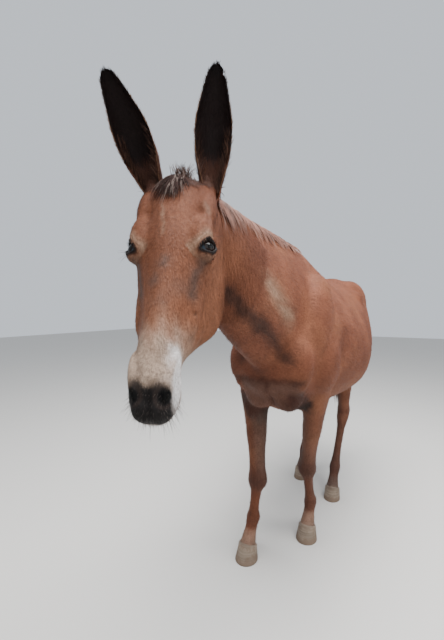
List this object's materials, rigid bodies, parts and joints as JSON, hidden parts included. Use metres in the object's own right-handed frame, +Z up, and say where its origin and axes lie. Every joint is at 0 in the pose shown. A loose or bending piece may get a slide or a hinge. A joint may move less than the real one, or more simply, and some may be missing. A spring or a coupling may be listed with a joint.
{
  "type": "mule",
  "caption": "Life-size red-brown mule standing with its legs apart, neck level, head turned to its left, long ears up and tail hanging.",
  "frame": {"origin": "centre of the bounding box's bottom face, on the floor under the hooves", "axes": "+Z up; the mule faces -Y; +X is its left side"},
  "size_m": [0.609, 2.4832, 1.8174],
  "materials": {
    "coat": "short satin coat",
    "ear": "short hair",
    "eye": "wet gloss",
    "hoof": "dusty horn",
    "hair": "coarse hair"
  },
  "bodies": {
    "root": {"head": "coat", "neck": "coat", "forequarters": "coat", "barrel": "coat", "hindquarters": "coat", "foreleg_left": "coat", "foreleg_right": "coat", "hindleg_left": "coat", "hindleg_right": "coat", "ear_left": "ear", "ear_right": "ear", "eye_left": "eye", "eye_right": "eye", "hoof_fore_left": "hoof", "hoof_fore_right": "hoof", "hoof_hind_left": "hoof", "hoof_hind_right": "hoof", "tail": "hair"}
  },
  "joints": []
}
